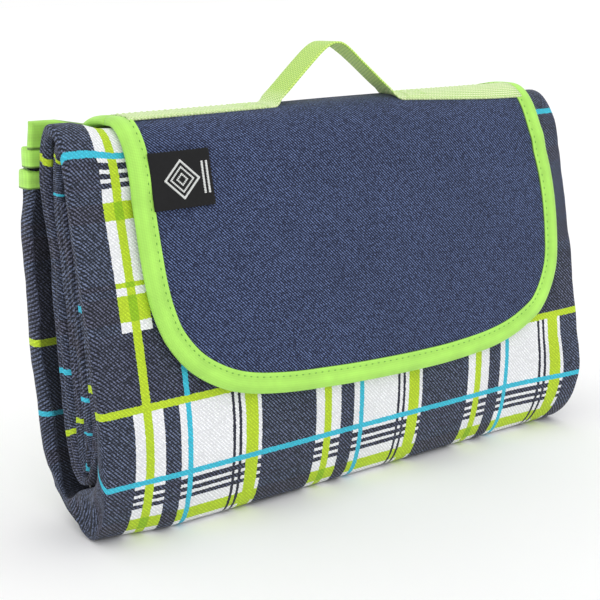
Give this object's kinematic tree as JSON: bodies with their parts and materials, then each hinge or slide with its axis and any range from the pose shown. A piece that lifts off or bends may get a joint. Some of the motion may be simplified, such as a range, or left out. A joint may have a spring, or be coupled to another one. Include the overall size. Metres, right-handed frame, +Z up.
{
  "type": "folded picnic mat",
  "caption": "Padded plaid picnic mat folded and rolled upright, closed by a bound flap with a webbing carry handle and a woven label.",
  "frame": {"origin": "centre of the bounding box in plan, on the ground plane the bottom fold rests on", "axes": "+X along the fold, towards the right-hand end seen from the front; +Y towards the rear panel; +Z up; the flap and its label face -Y"},
  "size_m": [0.4, 0.1129, 0.3007],
  "materials": {
    "plaid_mat": "plain-weave polyester printed in a plaid of slate, white, lime and cyan",
    "edge_binding": "ribbed lime bias tape",
    "flap_twill": "matte navy twill",
    "foam": "thin closed-cell padding",
    "flap_lining": "coated woven lining",
    "webbing": "ribbed lime webbing",
    "thread": "polyester thread",
    "hook_and_loop": "hook and loop tape",
    "label_weave": "black damask woven label",
    "emblem_thread": "off-white woven thread"
  },
  "bodies": {
    "mat": {"rear_ply_outer": "plaid_mat", "rear_ply_middle": "plaid_mat", "rear_ply_inner": "plaid_mat", "rear_edge_binding_outer": "edge_binding", "rear_edge_binding_middle": "edge_binding", "rear_edge_binding_inner": "edge_binding", "bottom_fold": "plaid_mat", "front_panel": "plaid_mat", "top_fold": "plaid_mat", "inner_rear_panel": "plaid_mat", "inner_bottom_fold": "plaid_mat", "inner_front_panel": "plaid_mat", "inner_top_fold": "plaid_mat", "core_rear_panel": "plaid_mat", "core_fold": "plaid_mat", "core_front_panel": "plaid_mat", "loop_tapes": "hook_and_loop", "flap_anchor_cover": "flap_twill", "flap_anchor_lining": "flap_lining", "flap_anchor_binding": "edge_binding", "flap_anchor_stitches": "thread", "flap_rear_crease": "flap_twill"},
    "flap_top": {"flap_top_cover": "flap_twill", "flap_top_foam": "foam", "flap_top_lining": "flap_lining", "flap_top_binding": "edge_binding", "webbing_left": "webbing", "webbing_right": "webbing", "webbing_stitches": "thread", "handle_bar_tacks": "thread", "flap_front_crease": "flap_twill"},
    "handle": {"handle_webbing": "webbing"},
    "flap_front": {"flap_front_cover": "flap_twill", "flap_front_foam": "foam", "flap_front_lining": "flap_lining", "flap_front_binding": "edge_binding", "hook_tapes": "hook_and_loop", "label_seam": "label_weave"},
    "label": {"label": "label_weave", "label_emblem": "emblem_thread"}
  },
  "joints": [
    {"name": "flap_top_hinge", "type": "hinge", "parent": "mat", "child": "flap_top", "pos_m": [0, 0.0524, 0.227], "axis": [-1, 0, 0], "range_deg": [0, 160]},
    {"name": "flap_front_hinge", "type": "hinge", "parent": "flap_top", "child": "flap_front", "pos_m": [0, -0.02164, 0.25154], "axis": [-1, 0, 0], "range_deg": [0, 120]},
    {"name": "handle_hinge", "type": "hinge", "parent": "flap_top", "child": "handle", "pos_m": [0.007, 0.002, 0.2634], "axis": [1, 0, 0], "range_deg": [-50, 50], "stiffness_Nm_per_rad": 0.02},
    {"name": "label_hinge", "type": "hinge", "parent": "flap_front", "child": "label", "pos_m": [-0.1414, -0.03231, 0.2247], "axis": [0, -0.1788, -0.9839], "range_deg": [0, 60]}
  ]
}
